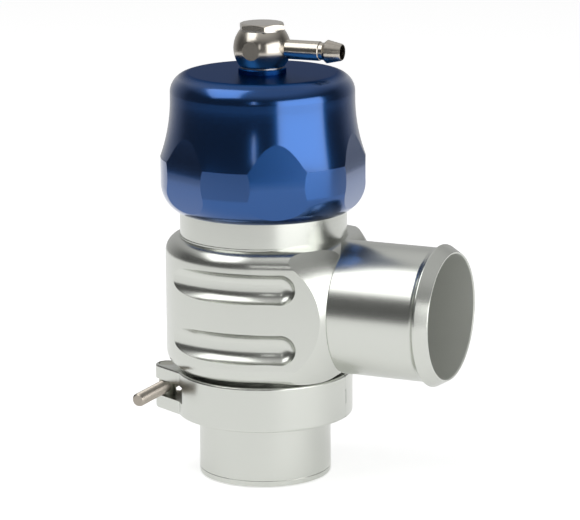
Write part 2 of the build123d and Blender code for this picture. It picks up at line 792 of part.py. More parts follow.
inlet_adaptor.part.label = "inlet_adaptor"
inlet_o_ring.part.label = "inlet_o_ring"
valve_body.part.label = "valve_body"
guide_sleeve.part.label = "guide_sleeve"
piston.part.label = "piston"
piston_face_seal.part.label = "piston_face_seal"
piston_guide_ring.part.label = "piston_guide_ring"
piston_seal_ring.part.label = "piston_seal_ring"
main_spring.part.label = "main_spring"
spring_seat.part.label = "spring_seat"
cap.part.label = "cap"
cap_o_ring.part.label = "cap_o_ring"
banjo_bolt.part.label = "banjo_bolt"
banjo_fitting.part.label = "banjo_fitting"
banjo_washer_lower.part.label = "banjo_washer_lower"
banjo_washer_upper.part.label = "banjo_washer_upper"
clamp_half_front.part.label = "clamp_half_front"
clamp_half_rear.part.label = "clamp_half_rear"
clamp_hinge_pin.part.label = "clamp_hinge_pin"
clamp_screw.part.label = "clamp_screw"
clamp_screw_washer.part.label = "clamp_screw_washer"
trunnion_nut.part.label = "trunnion_nut"
trunnion_bearing.part.label = "trunnion_bearing"

export_step(inlet_adaptor.part, "parts/inlet_adaptor.step")
export_step(inlet_o_ring.part, "parts/inlet_o_ring.step")
export_step(valve_body.part, "parts/valve_body.step")
export_step(guide_sleeve.part, "parts/guide_sleeve.step")
export_step(piston.part, "parts/piston.step")
export_step(piston_face_seal.part, "parts/piston_face_seal.step")
export_step(piston_guide_ring.part, "parts/piston_guide_ring.step")
export_step(piston_seal_ring.part, "parts/piston_seal_ring.step")
export_step(main_spring.part, "parts/main_spring.step")
export_step(spring_seat.part, "parts/spring_seat.step")
export_step(cap.part, "parts/cap.step")
export_step(cap_o_ring.part, "parts/cap_o_ring.step")
export_step(banjo_bolt.part, "parts/banjo_bolt.step")
export_step(banjo_fitting.part, "parts/banjo_fitting.step")
export_step(banjo_washer_lower.part, "parts/banjo_washer_lower.step")
export_step(banjo_washer_upper.part, "parts/banjo_washer_upper.step")
export_step(clamp_half_front.part, "parts/clamp_half_front.step")
export_step(clamp_half_rear.part, "parts/clamp_half_rear.step")
export_step(clamp_hinge_pin.part, "parts/clamp_hinge_pin.step")
export_step(clamp_screw.part, "parts/clamp_screw.step")
export_step(clamp_screw_washer.part, "parts/clamp_screw_washer.step")
export_step(trunnion_nut.part, "parts/trunnion_nut.step")
export_step(trunnion_bearing.part, "parts/trunnion_bearing.step")
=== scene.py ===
import math
import bpy
from mathutils import Matrix, Vector


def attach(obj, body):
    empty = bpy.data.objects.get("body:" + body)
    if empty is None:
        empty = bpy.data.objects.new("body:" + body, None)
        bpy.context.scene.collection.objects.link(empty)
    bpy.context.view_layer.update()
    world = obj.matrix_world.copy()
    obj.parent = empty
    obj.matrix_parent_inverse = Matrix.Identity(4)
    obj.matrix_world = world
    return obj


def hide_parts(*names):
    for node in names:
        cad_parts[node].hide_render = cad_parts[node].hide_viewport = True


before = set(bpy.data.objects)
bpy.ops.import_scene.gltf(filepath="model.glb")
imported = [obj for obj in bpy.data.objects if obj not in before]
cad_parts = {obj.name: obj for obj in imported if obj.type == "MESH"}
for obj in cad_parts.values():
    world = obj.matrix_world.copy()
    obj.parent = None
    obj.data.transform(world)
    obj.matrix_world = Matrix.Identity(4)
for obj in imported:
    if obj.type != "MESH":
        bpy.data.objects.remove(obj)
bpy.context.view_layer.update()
print("frame loaded:", len(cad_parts), "nodes")

mm = 0.001
samePoint = 0.0001 * mm
weldWithin = 0.0005 * mm


def toLinear(hexColour):
    channels = [int(hexColour[i:i + 2], 16) / 255 for i in (1, 3, 5)]
    return tuple(c / 12.92 if c <= 0.04045 else ((c + 0.055) / 1.055) ** 2.4 for c in channels) + (1.0,)


def addNode(material, kind, settings=None, **inputs):  # inputs are numbers, colours or another node's output
    node = material.node_tree.nodes.new(kind)
    for name, value in (settings or {}).items():
        setattr(node, name, value)
    for name, value in inputs.items():
        socket = node.inputs[int(name[1:])] if name[1:].isdigit() else node.inputs[name.replace("_", " ")]
        if isinstance(value, bpy.types.NodeSocket):
            material.node_tree.links.new(value, socket)
        else:
            socket.default_value = value
    return node


def blankMaterial(name):
    material = bpy.data.materials.new(name)
    material.use_nodes = True
    material.node_tree.nodes.clear()
    return material


def finishMaterial(material, shader):
    output = addNode(material, "ShaderNodeOutputMaterial")
    material.node_tree.links.new(shader.outputs[0], output.inputs["Surface"])
    return material


turnedLook = {"colour": "#C9CBC5", "roughness": 0.25, "spread": (-0.02, 0.03), "feed": 0.16, "perMetreRound": 60,
              "depth": 0.025, "height": 0.02, "pipeFrom": 28.4, "pipeLevel": 50.94, "boreWithin": 17.9,
              "boreRoughness": 0.45, "boreMetallic": 0.5}


def turnedAluminium(name, look):  # lathe rings round Z, round X on the outlet pipe, and a blasted outlet bore
    material = blankMaterial(name)
    place = addNode(material, "ShaderNodeTexCoord").outputs["Object"]
    fine, wide = 1 / (look["feed"] * mm), look["perMetreRound"]
    upright = addNode(material, "ShaderNodeMapping", Vector=place, Scale=(wide, wide, fine))
    across = addNode(material, "ShaderNodeMapping", Vector=place, Scale=(fine, wide, wide))
    split = addNode(material, "ShaderNodeSeparateXYZ", Vector=place)
    onPipe = addNode(material, "ShaderNodeMath", {"operation": "GREATER_THAN"},
                     _0=split.outputs["X"], _1=look["pipeFrom"] * mm)
    turned = addNode(material, "ShaderNodeMix", {"data_type": "VECTOR"},
                     _0=onPipe.outputs[0], _4=upright.outputs[0], _5=across.outputs[0])
    rings = addNode(material, "ShaderNodeTexNoise", Vector=turned.outputs[1], Scale=1.0, Detail=2.0)
    bump = addNode(material, "ShaderNodeBump", Strength=look["depth"], Distance=look["height"] * mm,
                   Height=rings.outputs[0])
    shine = addNode(material, "ShaderNodeMapRange", Value=rings.outputs[0],
                    To_Min=look["roughness"] + look["spread"][0], To_Max=look["roughness"] + look["spread"][1])
    offLine = addNode(material, "ShaderNodeVectorMath", {"operation": "SUBTRACT"},
                      _0=place, _1=(0, 0, look["pipeLevel"] * mm))
    offLine = addNode(material, "ShaderNodeVectorMath", {"operation": "MULTIPLY"},
                      _0=offLine.outputs[0], _1=(0, 1, 1))
    radius = addNode(material, "ShaderNodeVectorMath", {"operation": "LENGTH"}, _0=offLine.outputs[0])
    inBore = addNode(material, "ShaderNodeMath", {"operation": "LESS_THAN"},
                     _0=radius.outputs["Value"], _1=look["boreWithin"] * mm)
    inBore = addNode(material, "ShaderNodeMath", {"operation": "MULTIPLY"},
                     _0=inBore.outputs[0], _1=onPipe.outputs[0])
    dull = addNode(material, "ShaderNodeMix", _0=inBore.outputs[0], _2=shine.outputs[0], _3=look["boreRoughness"])
    scatter = addNode(material, "ShaderNodeMapRange", Value=inBore.outputs[0],
                      To_Min=1.0, To_Max=look["boreMetallic"])
    metal = addNode(material, "ShaderNodeBsdfPrincipled", Base_Color=toLinear(look["colour"]),
                    Metallic=scatter.outputs[0], Roughness=dull.outputs[0], Normal=bump.outputs[0])
    return finishMaterial(material, metal)


dyedLook = {"colour": "#1A4A86", "roughness": 0.21, "spread": 0.03, "grain": 0.4, "film": 0.75, "filmRoughness": 0.12,
            "topFrom": (115.4, 116.58), "topRoughness": 0.3, "topEdge": "#A2A6B0", "feed": 0.12,
            "depth": 0.15, "height": 0.02}


def dyedAluminium(name, look):  # a shiny film over dyed metal, and faint facing rings on the duller flat top
    material = blankMaterial(name)
    place = addNode(material, "ShaderNodeTexCoord").outputs["Object"]
    split = addNode(material, "ShaderNodeSeparateXYZ", Vector=place)
    onTop = addNode(material, "ShaderNodeMapRange", Value=split.outputs["Z"],
                    From_Min=look["topFrom"][0] * mm, From_Max=look["topFrom"][1] * mm).outputs[0]
    away = addNode(material, "ShaderNodeVectorMath", {"operation": "MULTIPLY"}, _0=place, _1=(1, 1, 0))
    away = addNode(material, "ShaderNodeVectorMath", {"operation": "LENGTH"}, _0=away.outputs[0])
    cuts = addNode(material, "ShaderNodeCombineXYZ", X=away.outputs["Value"])
    rings = addNode(material, "ShaderNodeTexNoise", Vector=cuts.outputs[0],
                    Scale=1 / (look["feed"] * mm), Detail=2.0)
    depth = addNode(material, "ShaderNodeMath", {"operation": "MULTIPLY"}, _0=onTop, _1=look["depth"])
    bump = addNode(material, "ShaderNodeBump", Strength=depth.outputs[0], Distance=look["height"] * mm,
                   Height=rings.outputs[0])
    spots = addNode(material, "ShaderNodeTexNoise", Vector=place, Scale=1 / (look["grain"] * mm), Detail=3.0)
    shine = addNode(material, "ShaderNodeMapRange", Value=spots.outputs[0],
                    To_Min=look["roughness"] - look["spread"], To_Max=look["roughness"] + look["spread"])
    dull = addNode(material, "ShaderNodeMix", _0=onTop, _2=shine.outputs[0], _3=look["topRoughness"])
    film = addNode(material, "ShaderNodeMapRange", Value=onTop, To_Min=look["film"], To_Max=0.0)
    edge = addNode(material, "ShaderNodeMix", {"data_type": "RGBA"},
                   _0=onTop, _6=(1, 1, 1, 1), _7=toLinear(look["topEdge"]))
    metal = addNode(material, "ShaderNodeBsdfPrincipled", Base_Color=toLinear(look["colour"]), Metallic=1.0,
                    Roughness=dull.outputs[0], Specular_Tint=edge.outputs[2], Coat_Weight=film.outputs[0],
                    Coat_Roughness=look["filmRoughness"], Normal=bump.outputs[0])
    return finishMaterial(material, metal)


metalGrain = {"grain": 0.4, "spread": 0.03}


def plainMetal(name, colour, roughness, look=metalGrain):  # even metal whose shine varies a little from grain to grain
    material = blankMaterial(name)
    place = addNode(material, "ShaderNodeTexCoord").outputs["Object"]
    spots = addNode(material, "ShaderNodeTexNoise", Vector=place, Scale=1 / (look["grain"] * mm), Detail=3.0)
    shine = addNode(material, "ShaderNodeMapRange", Value=spots.outputs[0],
                    To_Min=roughness - look["spread"], To_Max=roughness + look["spread"])
    metal = addNode(material, "ShaderNodeBsdfPrincipled", Base_Color=toLinear(colour), Metallic=1.0,
                    Roughness=shine.outputs[0])
    return finishMaterial(material, metal)


rubberGrain = {"grain": 0.3, "depth": 0.2, "height": 0.05}


def softRubber(name, colour, roughness, look=rubberGrain):
    material = blankMaterial(name)
    place = addNode(material, "ShaderNodeTexCoord").outputs["Object"]
    grain = addNode(material, "ShaderNodeTexNoise", Vector=place, Scale=1 / (look["grain"] * mm))
    bump = addNode(material, "ShaderNodeBump", Strength=look["depth"], Distance=look["height"] * mm,
                   Height=grain.outputs[0])
    rubber = addNode(material, "ShaderNodeBsdfPrincipled", Base_Color=toLinear(colour), Roughness=roughness,
                     Normal=bump.outputs[0])
    return finishMaterial(material, rubber)


# Turned and tumbled 6061: pale, silky, with hair-fine feed rings that only close up can be seen
satinAluminium = turnedAluminium("Turned satin aluminium", turnedLook)
# Dyed and sealed oxide over polished metal: deep blue, with a clear film that takes the white highlights
blueAnodised = dyedAluminium("Blue anodised aluminium", dyedLook)
# Nickel on brass: warm grey and shiny, its highlights a little soft
nickel = plainMetal("Polished nickel plate", "#BCB6AC", 0.22)
# Rolled thread in plain steel: brownish grey and a little dull
screwSteel = plainMetal("Rolled screw steel", "#A59E94", 0.32)
# Turned from stainless bar: pale grey, duller than the collar round it
trunnionSteel = plainMetal("Turned stainless trunnion", "#B4B4A8", 0.3)
# Cold-drawn wire, lightly oiled: dark grey with thin highlights
springSteel = plainMetal("Cold-drawn spring wire", "#8C8C90", 0.3)
# Bored and honed bearing bronze: brownish gold with a soft shine
bronze = plainMetal("Honed bearing bronze", "#B08A52", 0.3)
# Soft washer stamped from sheet: pale, with a broad shine
washerMetal = plainMetal("Annealed washer aluminium", "#C9C6C2", 0.28)
# Moulded nitrile: black and matt
nitrile = softRubber("Moulded nitrile rubber", "#1B1B1C", 0.55)
# Wear strip cut from filled plastic: dark brown, faintly waxy
bearingPlastic = softRubber("Filled bearing plastic", "#3A332C", 0.5)

nodeFinish = {
    "inlet_adaptor": satinAluminium, "valve_body": satinAluminium, "piston": satinAluminium,
    "spring_seat": satinAluminium, "clamp_half_front": satinAluminium, "clamp_half_rear": satinAluminium,
    "cap": blueAnodised, "banjo_bolt": nickel, "banjo_fitting": nickel,
    "banjo_washer_upper": washerMetal, "banjo_washer_lower": washerMetal,
    "clamp_hinge_pin": screwSteel, "clamp_screw": screwSteel, "clamp_screw_washer": screwSteel,
    "trunnion_nut": trunnionSteel, "trunnion_bearing": trunnionSteel, "main_spring": springSteel,
    "guide_sleeve": bronze, "inlet_o_ring": nitrile, "cap_o_ring": nitrile, "piston_face_seal": nitrile,
    "piston_seal_ring": nitrile, "piston_guide_ring": bearingPlastic,
}
for nodeName, finish in nodeFinish.items():
    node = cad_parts[nodeName]
    node.data.materials.clear()
    node.data.materials.append(finish)
print("materials set")


def arc(centre, radius, start, end, count):  # points of an arc, its ends in degrees
    turns = [math.radians(start + (end - start) * i / count) for i in range(count + 1)]
    return [(centre[0] + radius * math.cos(t), centre[1] + radius * math.sin(t)) for t in turns]


def arcThrough(a, b, c, count):  # points of the arc through three points
    d = 2 * (a[0] * (b[1] - c[1]) + b[0] * (c[1] - a[1]) + c[0] * (a[1] - b[1]))
    squares = [p[0] ** 2 + p[1] ** 2 for p in (a, b, c)]
    x = (squares[0] * (b[1] - c[1]) + squares[1] * (c[1] - a[1]) + squares[2] * (a[1] - b[1])) / d
    z = (squares[0] * (c[0] - b[0]) + squares[1] * (a[0] - c[0]) + squares[2] * (b[0] - a[0])) / d
    ends = [math.degrees(math.atan2(p[1] - z, p[0] - x)) for p in (a, c)]
    return arc((x, z), math.hypot(a[0] - x, a[1] - z), ends[0], ends[1], count)


def arcToUpright(rise, step):  # radius and turn of an arc that ends upright, from its rise and its sideways step
    radius = (rise ** 2 + step ** 2) / (2 * step)
    return radius, math.degrees(math.asin(rise / radius))


def toAxis(corners):  # (radius, height) corners, closed to an upright axis
    return [(0, corners[0][1]), *corners, (0, corners[-1][1])]


def lift(corners, level):  # (x, radius) corners above a line along X at a level
    return [(x, level + radius) for x, radius in corners]


def toLine(corners, level):  # the same, closed to that line
    return [(corners[0][0], level), *lift(corners, level), (corners[-1][0], level)]


def drawOutline(name, outline):  # one vertex drawn out along (x, z) or (x, y, z) points, in millimetres
    points = [Vector(p if len(p) == 3 else (p[0], 0, p[1])) * mm for p in outline]
    bpy.ops.object.select_all(action="DESELECT")
    bpy.ops.mesh.primitive_plane_add(size=mm)
    piece = bpy.context.object
    piece.name = piece.data.name = name
    bpy.ops.object.mode_set(mode="EDIT")
    bpy.ops.mesh.select_mode(type="VERT")
    bpy.ops.mesh.select_all(action="SELECT")
    bpy.ops.mesh.merge(type="CENTER")
    here = points[0]
    bpy.ops.transform.translate(value=here)
    for there in points[1:]:
        if (there - here).length > samePoint:
            bpy.ops.mesh.extrude_region_move(TRANSFORM_OT_translate={"value": there - here})
            here = there
    bpy.ops.mesh.select_all(action="SELECT")
    bpy.ops.mesh.remove_doubles(threshold=weldWithin)
    return piece


def closeMesh():  # in edit mode: open ends filled, faces turned outwards
    bpy.ops.mesh.select_all(action="SELECT")
    bpy.ops.mesh.remove_doubles(threshold=weldWithin)
    bpy.ops.mesh.fill_holes(sides=0)
    bpy.ops.mesh.normals_make_consistent(inside=False)
    bpy.ops.object.mode_set(mode="OBJECT")


def turnOnLathe(name, outline, centre=(0, 0, 0), axis=(0, 0, 1), steps=240):
    piece = drawOutline(name, outline)
    bpy.ops.mesh.spin(steps=steps, angle=2 * math.pi, center=Vector(centre) * mm, axis=axis)
    closeMesh()
    return piece


def extrudeOutline(name, outline, way):  # a closed outline, filled and drawn out straight
    piece = drawOutline(name, outline)
    bpy.ops.mesh.edge_face_add()
    bpy.ops.mesh.extrude_region_move(TRANSFORM_OT_translate={"value": [v * mm for v in way]})
    closeMesh()
    return piece


def applyPlace():
    bpy.ops.object.transform_apply(location=True, rotation=True, scale=True)


def hexBar(name, flats, length, middle, turn):
    bpy.ops.object.select_all(action="DESELECT")
    bpy.ops.mesh.primitive_cylinder_add(vertices=6, radius=flats / 2 / math.cos(math.pi / 6) * mm,
                                        depth=length * mm, location=[v * mm for v in middle], rotation=turn)
    piece = bpy.context.object
    piece.name = piece.data.name = name
    applyPlace()
    return piece


def box(name, low, high):
    bpy.ops.object.select_all(action="DESELECT")
    size = Vector(high) - Vector(low)
    bpy.ops.mesh.primitive_cube_add(size=mm, location=(Vector(high) + Vector(low)) / 2 * mm, scale=size)
    bpy.context.object.name = name
    applyPlace()
    return bpy.context.object


def post(name, x, y, radius, low, high, steps=64):  # an upright round bar
    corners = [(x, y, low), (x + radius, y, low), (x + radius, y, high), (x, y, high)]
    return turnOnLathe(name, corners, (x, y, 0), steps=steps)


def carve(piece, tool, operation="DIFFERENCE"):
    change = piece.modifiers.new("carve", "BOOLEAN")
    change.object = tool
    change.operation = operation
    change.solver = "EXACT"
    bpy.context.view_layer.objects.active = piece
    bpy.ops.object.modifier_apply(modifier=change.name)
    bpy.data.objects.remove(tool)


def roundEdges(piece, wanted, radius, segments):  # wanted tests an edge's two ends, in millimetres
    bpy.ops.object.mode_set(mode="EDIT")
    bpy.ops.mesh.select_mode(type="EDGE")
    bpy.ops.mesh.select_all(action="DESELECT")
    bpy.ops.object.mode_set(mode="OBJECT")
    for edge in piece.data.edges:
        edge.select = wanted(*[piece.data.vertices[v].co / mm for v in edge.vertices])
    bpy.ops.object.mode_set(mode="EDIT")
    bpy.ops.mesh.bevel(offset=radius * mm, segments=segments, affect="EDGES", clamp_overlap=False)


def pickOnly(piece):
    bpy.ops.object.select_all(action="DESELECT")
    piece.select_set(True)
    bpy.context.view_layer.objects.active = piece


def smoothUp(piece, angle):  # edges turned by more than the angle stay sharp
    pickOnly(piece)
    bpy.ops.object.shade_smooth_by_angle(angle=math.radians(angle))
    even = piece.modifiers.new("even", "WEIGHTED_NORMAL")
    even.keep_sharp = True
    bpy.ops.object.modifier_apply(modifier=even.name)


def dress(piece, material, slot, body, *nodes):
    piece.data.materials.clear()
    piece.data.materials.append(material)
    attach(piece, body)
    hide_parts(*nodes)
    print("made", piece.name, len(piece.data.polygons), "faces")


capShape = {"bottom": 77.7, "mouth": 25.1, "belly": 29.2, "bellyLow": 85.2, "crease": 92.8, "wall": 26.25,
            "wallLow": 109.6, "top": 116.6, "topRound": 5.5, "boss": 6.8, "bossTop": 118.0, "bossEdge": 0.2,
            "inside": ((4.02, 112.3), (20.6, 112.3), (20.6, 93.4), (23.45, 93.4), (23.45, 80.0), (23.95, 79.5)),
            "facets": 6, "facetTurn": 3.0, "facetHalf": 15, "facetMargin": 6, "facetReach": 40,
            "facetPath": (((26.9, 79.0), (27.95, 84.5), (28.15, 89.5)),
                          ((28.15, 89.5), (28.0, 92.5), (27.6, 95.3)),
                          ((27.6, 95.3), (27.28, 98.0), (27.05, 101.5))),
            "sharpFrom": 4}


def makeCap(shape):
    lowRound, lowTurn = arcToUpright(shape["bellyLow"] - shape["bottom"], shape["belly"] - shape["mouth"])
    flareRound, flareTurn = arcToUpright(shape["wallLow"] - shape["crease"], shape["belly"] - shape["wall"])
    top, wall, topRound, inside = shape["top"], shape["wall"], shape["topRound"], shape["inside"]
    boss, bossTop, bossEdge = shape["boss"], shape["bossTop"], shape["bossEdge"]
    mouthCorner = (inside[-1][0], shape["bottom"])
    outline = [mouthCorner]
    outline += arc((shape["belly"] - lowRound, shape["bellyLow"]), lowRound, -lowTurn, 0, 24)
    outline += arc((wall + flareRound, shape["wallLow"]), flareRound, 180 + flareTurn, 180, 24)
    outline += arc((wall - topRound, top - topRound), topRound, 0, 90, 32)
    outline += [(boss, top), (boss, bossTop - bossEdge), (boss - bossEdge, bossTop), (inside[0][0], bossTop)]
    outline += [*inside, mouthCorner]
    piece = turnOnLathe("capShell", outline, steps=288)
    path = [point for bend in shape["facetPath"] for point in arcThrough(*bend, 12)]
    start, end = shape["facetPath"][0][0], shape["facetPath"][-1][-1]
    reach, margin, half = shape["facetReach"], shape["facetMargin"], shape["facetHalf"]
    path += [(reach, end[1] + margin), (reach, start[1] - margin), start]
    for index in range(shape["facets"]):
        tool = extrudeOutline("facetTool", [(x, -half, z) for x, z in path], (0, 2 * half, 0))
        tool.rotation_euler.z = math.radians(shape["facetTurn"] + index * 360 / shape["facets"])
        carve(piece, tool)
    smoothUp(piece, shape["sharpFrom"])
    return piece


bodyShape = {"radius": 28.1, "bottom": 31.7, "top": 70.0, "taper": 18.4, "nose": 28.4, "topRound": 4.6,
             "lowRound": 5.0, "flare": ((16.5, 80.34), (23.2, 75.44), (27.8, 70.19)), "flareBack": -40,
             "flareWide": 56, "pipeLevel": 50.94, "pipe": ((14, 19), (52.1, 19)),
             "bead": (((52.1, 19), (53.3, 19.45), (54.0, 20.1)), ((54.0, 20.1), (54.3, 20.15), (54.6, 20.05))),
             "pipeEnd": ((57.6, 18.35), (57.8, 18.2)), "bore": ((19.5, 17.65), (57.5, 17.65), (58.5, 18.3)),
             "neck": ((24.2, 66), (24.2, 70.4), (23.9, 70.4), (23.9, 79.2), (23.4, 79.7), (23.4, 91.9)),
             "flange": ((18.7, 35), (18.7, 26.88), (21.4, 25.9), (21.4, 24.3)),
             "chamber": ((16.75, 24.0), (16.75, 38.2), (18.25, 38.2), (18.25, 37.0), (21, 37.0), (21, 92.5)),
             "grooveLevels": (42.6, 59.9), "grooveCentre": (-0.8, 13.4), "grooveFloor": 38.9, "grooveBack": 50.9,
             "grooveHalf": 4.55, "grooveCorner": 3.6, "grooveTurns": (225, 294), "sharpFrom": 12}


def makeGrooveTool(shape, side, level):  # a bull-nosed cutter's path, cut off straight at its left end
    centre = Vector((shape["grooveCentre"][0], -side * shape["grooveCentre"][1], level))
    floorAt, back = shape["grooveFloor"], shape["grooveBack"]
    half, corner = shape["grooveHalf"], shape["grooveCorner"]
    nose = [(floorAt, 0), *arc((floorAt + corner, half - corner), corner, 180, 90, 10), (back, half), (back, 0)]
    section = nose + [(x, -z) for x, z in reversed(nose)]
    start, end = [math.radians(a) for a in shape["grooveTurns"]]
    startWay = Vector((math.cos(start), -side * math.sin(start), 0))
    endWay = Vector((math.cos(end), -side * math.sin(end), 0))
    tool = drawOutline("groovePath", [centre + startWay * x + Vector((0, 0, z)) for x, z in section])
    bpy.ops.mesh.spin(steps=70, angle=side * (end - start), center=centre * mm, axis=(0, 0, 1))
    bpy.ops.object.mode_set(mode="OBJECT")
    drawOutline("grooveEnd", [centre + endWay * x + Vector((0, 0, z)) for x, z in nose])
    bpy.ops.mesh.spin(steps=24, angle=-side * math.pi, center=centre * mm, axis=endWay)
    bpy.ops.object.mode_set(mode="OBJECT")
    tool.select_set(True)
    bpy.context.view_layer.objects.active = tool
    bpy.ops.object.join()
    bpy.ops.object.mode_set(mode="EDIT")
    closeMesh()
    return tool


def makeBody(shape):
    bottom, top, radius, nose = shape["bottom"], shape["top"], shape["radius"], shape["nose"]
    edge = 90 - shape["taper"]
    wide = radius * math.sin(math.radians(edge))
    long = radius * math.cos(math.radians(edge))
    half = wide - (nose - long) * math.tan(math.radians(shape["taper"]))
    plan = [(x, y, bottom) for x, y in arc((0, 0), radius, edge, 360 - edge, 200)]
    plan += [(nose, -half, bottom), (nose, half, bottom), plan[0]]
    piece = extrudeOutline("bodyShell", plan, (0, 0, top - bottom))
    roundEdges(piece, lambda a, b: min(a.z, b.z) > top - 0.01, shape["topRound"], 16)
    roundEdges(piece, lambda a, b: max(a.z, b.z) < bottom + 0.01, shape["lowRound"], 16)
    closeMesh()
    level = shape["pipeLevel"]
    pipeLine = {"centre": (0, 0, level), "axis": (1, 0, 0)}
    back, rim = shape["flareBack"], level + shape["flareWide"]
    flare = [(back, level), (back, rim), (shape["flare"][0][0], rim)] + arcThrough(*shape["flare"], 32)
    carve(piece, turnOnLathe("flareTool", flare + [(shape["flare"][-1][0], level)], **pipeLine), "INTERSECT")
    carve(piece, turnOnLathe("neckTool", toAxis(shape["neck"])), "UNION")
    carve(piece, turnOnLathe("flangeTool", toAxis(shape["flange"])), "UNION")
    pipe = [(shape["pipe"][0][0], level)] + lift(shape["pipe"], level)
    for bend in shape["bead"]:
        pipe += arcThrough(*lift(bend, level), 6)
    pipe += lift(shape["pipeEnd"], level) + [(shape["pipeEnd"][-1][0], level)]
    carve(piece, turnOnLathe("pipeTool", pipe, **pipeLine), "UNION")
    bpy.ops.object.mode_set(mode="EDIT")  # the join leaves edges of no length, and the next cuts need a closed mesh
    closeMesh()
    carve(piece, turnOnLathe("chamberTool", toAxis(shape["chamber"])))
    carve(piece, turnOnLathe("boreTool", toLine(shape["bore"], level), **pipeLine))
    for side in (1, -1):
        for grooveLevel in shape["grooveLevels"]:
            carve(piece, makeGrooveTool(shape, side, grooveLevel))
    smoothUp(piece, shape["sharpFrom"])
    return piece


banjoShape = {"level": 123.5, "ball": 8.15, "half": 5.1, "bore": 4.15, "boreHalf": 8, "flatAt": 7.72, "tailTurn": 2.0,
              "tail": ((4, 2.75), (17.6, 2.75), (17.75, 2.6), (17.8, 2.45), (18.85, 2.45), (18.95, 2.5), (19.8, 3.2),
                       (19.95, 3.3), (20.15, 3.26), (24.0, 2.42), (24.3, 2.25)),
              "tailBore": ((3, 2.1), (30, 2.1)), "sharpFrom": 18}


def makeBanjo(shape):
    level, half, bore, reach = shape["level"], shape["half"], shape["bore"], shape["boreHalf"]
    rise = math.degrees(math.asin(half / shape["ball"]))
    ball = toAxis(arc((0, level), shape["ball"], -rise, rise, 32))
    piece = turnOnLathe("banjoBall", ball, steps=128)
    boltBore = turnOnLathe("boltBore", toAxis(((bore, level - reach), (bore, level + reach))), steps=128)
    tail, tailBore = [turnOnLathe(name, toLine(corners, level), (0, 0, level), (1, 0, 0), steps)
                      for name, corners, steps in (("banjoTail", shape["tail"], 64), ("banjoBore", shape["tailBore"], 48))]
    tail.rotation_euler.z = tailBore.rotation_euler.z = math.radians(shape["tailTurn"])
    carve(piece, tail, "UNION")
    carve(piece, boltBore)
    carve(piece, tailBore)
    pickOnly(piece)
    for side in (-1, 1):
        bpy.ops.object.mode_set(mode="EDIT")
        bpy.ops.mesh.select_all(action="SELECT")
        bpy.ops.mesh.bisect(plane_co=(0, side * shape["flatAt"] * mm, 0), plane_no=(0, side, 0),
                            use_fill=True, clear_outer=True, threshold=samePoint)
        bpy.ops.object.mode_set(mode="OBJECT")
    smoothUp(piece, shape["sharpFrom"])
    return piece


boltShape = {"headLow": 129.0, "headTop": 130.7, "flats": 12.0,
             "crown": ((9, 128), (8.2, 129.5), (5.95, 130.64), (5.7, 130.7)),
             "shank": ((3.4, 112.9), (4.0, 113.5), (4.0, 121.0), (3.1, 121.5), (3.1, 125.5), (4.0, 126.0), (4.0, 129.4)),
             "drill": ((2, 112), (2, 124.8)), "sharpFrom": 20}


def makeBolt(shape):
    low, top = shape["headLow"], shape["headTop"]
    piece = hexBar("banjoBoltHead", shape["flats"], top - low, (0, 0, (top + low) / 2), (0, 0, math.pi / 6))
    carve(piece, turnOnLathe("headCrown", toAxis(shape["crown"]), steps=96), "INTERSECT")
    carve(piece, turnOnLathe("boltShank", toAxis(shape["shank"]), steps=96), "UNION")
    carve(piece, turnOnLathe("boltDrill", toAxis(shape["drill"]), steps=48))
    smoothUp(piece, shape["sharpFrom"])
    return piece


dress(makeCap(capShape), blueAnodised, "blue_anodised", "valve", "cap")
dress(makeBody(bodyShape), satinAluminium, "machined_body", "valve", "valve_body")
dress(makeBanjo(banjoShape), nickel, "nickel_plate", "banjo", "banjo_fitting")
dress(makeBolt(boltShape), nickel, "nickel_plate", "valve", "banjo_bolt")

adaptorShape = {"bore": 17.0, "boreEdge": 0.2, "tube": 19.0, "tubeEdge": ((0.35, 0), (0.1, 0.1), (0, 0.35)),
                "line": 1.7, "lineHalf": 0.12, "lineDeep": 0.06, "wall": 17.3, "wallStep": 0.3, "undercut": 18.7,
                "flange": 21.4, "flangeEdge": 0.1, "rim": 1.6, "taper": 20.0, "top": 24.3,
                "ringAt": (18.25, 20.15), "ringDepth": 1.3, "sharpFrom": 18}


def makeAdaptor(shape):  # tube with a fine turned line, undercut, tapered flange and the ring's groove in its face
    tube, bore, boreEdge, flange = shape["tube"], shape["bore"], shape["boreEdge"], shape["flange"]
    line, lineHalf, top, undercut = shape["line"], shape["lineHalf"], shape["top"], shape["undercut"]
    flangeEdge, flangeLow = shape["flangeEdge"], top - shape["rim"]
    root = flangeLow - (flange - undercut) * math.tan(math.radians(shape["taper"]))
    ringIn, ringOut = shape["ringAt"]
    ringFloor = top - shape["ringDepth"]
    outline = [(bore + boreEdge, 0)] + [(tube - step, rise) for step, rise in shape["tubeEdge"]]
    outline += [(tube, line - lineHalf), (tube - shape["lineDeep"], line), (tube, line + lineHalf)]
    outline += [(tube, shape["wall"]), (undercut, shape["wall"] + shape["wallStep"]), (undercut, root)]
    outline += [(flange, flangeLow), (flange, top - flangeEdge), (flange - flangeEdge, top)]
    outline += [(ringOut, top), (ringOut, ringFloor), (ringIn, ringFloor), (ringIn, top)]
    outline += [(bore, top), (bore, boreEdge), (bore + boreEdge, 0)]
    piece = turnOnLathe("inletAdaptor", outline, steps=288)
    smoothUp(piece, shape["sharpFrom"])
    return piece


